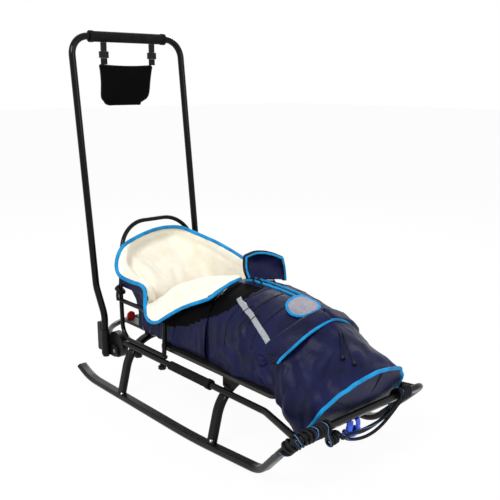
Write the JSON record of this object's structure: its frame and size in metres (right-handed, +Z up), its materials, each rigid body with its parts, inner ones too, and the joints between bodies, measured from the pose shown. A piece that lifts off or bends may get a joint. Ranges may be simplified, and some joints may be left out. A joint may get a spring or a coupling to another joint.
{
  "type": "child's sled with push handle and footmuff",
  "caption": "Steel-tube child's sled on two flat-oval runners, with a slatted seat, back hoop, folding push handle, footmuff, pouch and wound tow rope.",
  "frame": {"origin": "on the ground under the middle of the sled's length, on its centre plane", "axes": "+X forward to the bumper, +Y to the sled's left, +Z up"},
  "size_m": [0.9637, 0.4642, 0.9908],
  "materials": {
    "foam_black": "closed-cell foam sleeve",
    "frame_black": "gloss black powder coat",
    "navy_nylon": "coated navy nylon with cream fleece lining",
    "pin_steel": "zinc-plated steel",
    "plastic_black": "moulded nylon",
    "pouch_black": "black polyester",
    "rope_black": "braided cord, black with light blue tracers",
    "slat_dark": "dark stained lacquered wood",
    "tab_red": "gloss red plastic"
  },
  "bodies": {
    "sled": {"runner_right": "frame_black", "runner_left": "frame_black", "bumper": "frame_black", "runner_plug_right": "plastic_black", "runner_plug_left": "plastic_black", "leg_arch_rear": "frame_black", "leg_arch_front": "frame_black", "side_rail_right": "frame_black", "side_rail_left": "frame_black", "rear_cross_tube": "frame_black", "rail_foam_right": "foam_black", "rail_foam_left": "foam_black", "back_hoop": "frame_black", "armrest_right": "frame_black", "armrest_left": "frame_black", "rail_knob_rear_right": "plastic_black", "rail_knob_rear_left": "plastic_black", "rail_knob_front_right": "plastic_black", "rail_knob_front_left": "plastic_black", "seat_slat_right_outer": "slat_dark", "seat_slat_right_wide": "slat_dark", "seat_slat_right_inner": "slat_dark", "seat_slat_middle": "slat_dark", "seat_slat_left_inner": "slat_dark", "seat_slat_left_wide": "slat_dark", "seat_slat_left_outer": "slat_dark", "slat_spacer_rear_right": "plastic_black", "slat_spacer_rear_left": "plastic_black", "slat_spacer_front_right": "plastic_black", "slat_spacer_front_left": "plastic_black", "slat_tab_right": "tab_red", "slat_tab_left": "tab_red", "handle_bracket_right": "plastic_black", "handle_bracket_left": "plastic_black", "pivot_pin_right": "pin_steel", "pivot_pin_left": "pin_steel", "footmuff_leg_bag": "navy_nylon", "footmuff_seat_tub": "navy_nylon", "tow_rope_hank": "rope_black"},
    "handle": {"handle_socket_right": "plastic_black", "handle_socket_left": "plastic_black", "latch_lever_right": "plastic_black", "latch_lever_left": "plastic_black", "push_handle": "frame_black", "handle_grip": "foam_black", "pouch": "pouch_black", "pouch_hook_right": "plastic_black", "pouch_buckle_right": "plastic_black", "pouch_strap_right": "pouch_black", "pouch_hook_left": "plastic_black", "pouch_buckle_left": "plastic_black", "pouch_strap_left": "pouch_black"}
  },
  "joints": [
    {"name": "handle_fold", "type": "hinge", "parent": "sled", "child": "handle", "pos_m": [-0.3189, 0, 0.114], "axis": [0, 1, 0], "range_deg": [0, 80]}
  ]
}
